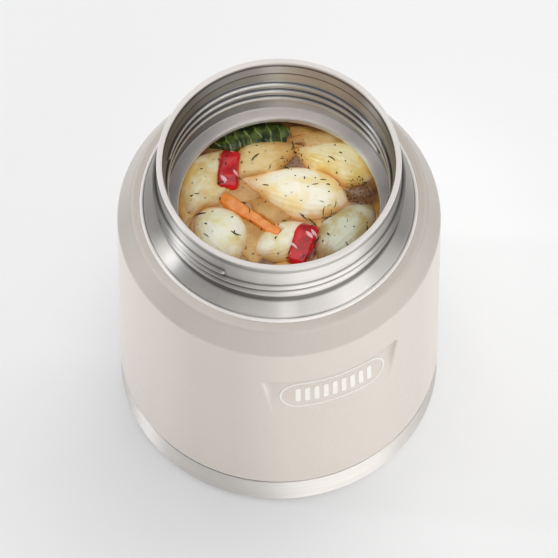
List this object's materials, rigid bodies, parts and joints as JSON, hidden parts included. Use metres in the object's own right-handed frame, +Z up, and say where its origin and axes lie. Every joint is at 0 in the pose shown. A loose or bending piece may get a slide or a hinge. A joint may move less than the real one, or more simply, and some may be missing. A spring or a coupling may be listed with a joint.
{
  "type": "insulated food jar",
  "caption": "Open double-wall vacuum food jar with a screw neck, coated wall, bare steel base band and a shallow side panel, shown filled with pasta stew.",
  "frame": {"origin": "middle of the foot ring's underside, on the jar's axis", "axes": "+Z up the jar's axis to its mouth, -Y towards the middle of the recessed side panel"},
  "size_m": [0.104, 0.104, 0.1292],
  "materials": {
    "powder_coat": "matte sandstone powder coat with a fine grain",
    "neck_steel": "bare stainless steel, turned and lightly brushed round",
    "vessel_steel": "bare stainless steel, satin inside",
    "base_steel": "bare stainless steel, as drawn",
    "band_steel": "stainless steel brushed round the axis",
    "foil": "bright rolled foil",
    "seal_glass": "fused sealing glass",
    "getter_alloy": "dull sintered metal",
    "sealant": "cured silicone",
    "foot_rubber": "matt rubber",
    "broth": "brown-gold broth, wet and glossy",
    "pasta": "cooked pasta, cream and moist",
    "pepper": "red pepper, wet skin",
    "carrot": "cooked carrot, moist",
    "greens": "dark green leaf, wet"
  },
  "bodies": {
    "root": {"base_cup": "band_steel", "base_sealant": "sealant", "body_shell": "powder_coat", "broth": "broth", "carrot_strip": "carrot", "foot_ring": "foot_rubber", "getter_bracket": "base_steel", "getter_capsule": "getter_alloy", "inner_vessel": "vessel_steel", "leaf_greens": "greens", "neck_shell": "neck_steel", "pasta_shell_1": "pasta", "pasta_shell_2": "pasta", "pasta_shell_3": "pasta", "pasta_shell_4": "pasta", "pasta_shell_5": "pasta", "pasta_shell_6": "pasta", "pasta_shell_7": "pasta", "pasta_shell_8": "pasta", "pepper_piece_1": "pepper", "pepper_piece_2": "pepper", "radiation_shield": "foil", "seal_plug": "seal_glass", "vacuum_bottom": "base_steel"}
  },
  "joints": []
}
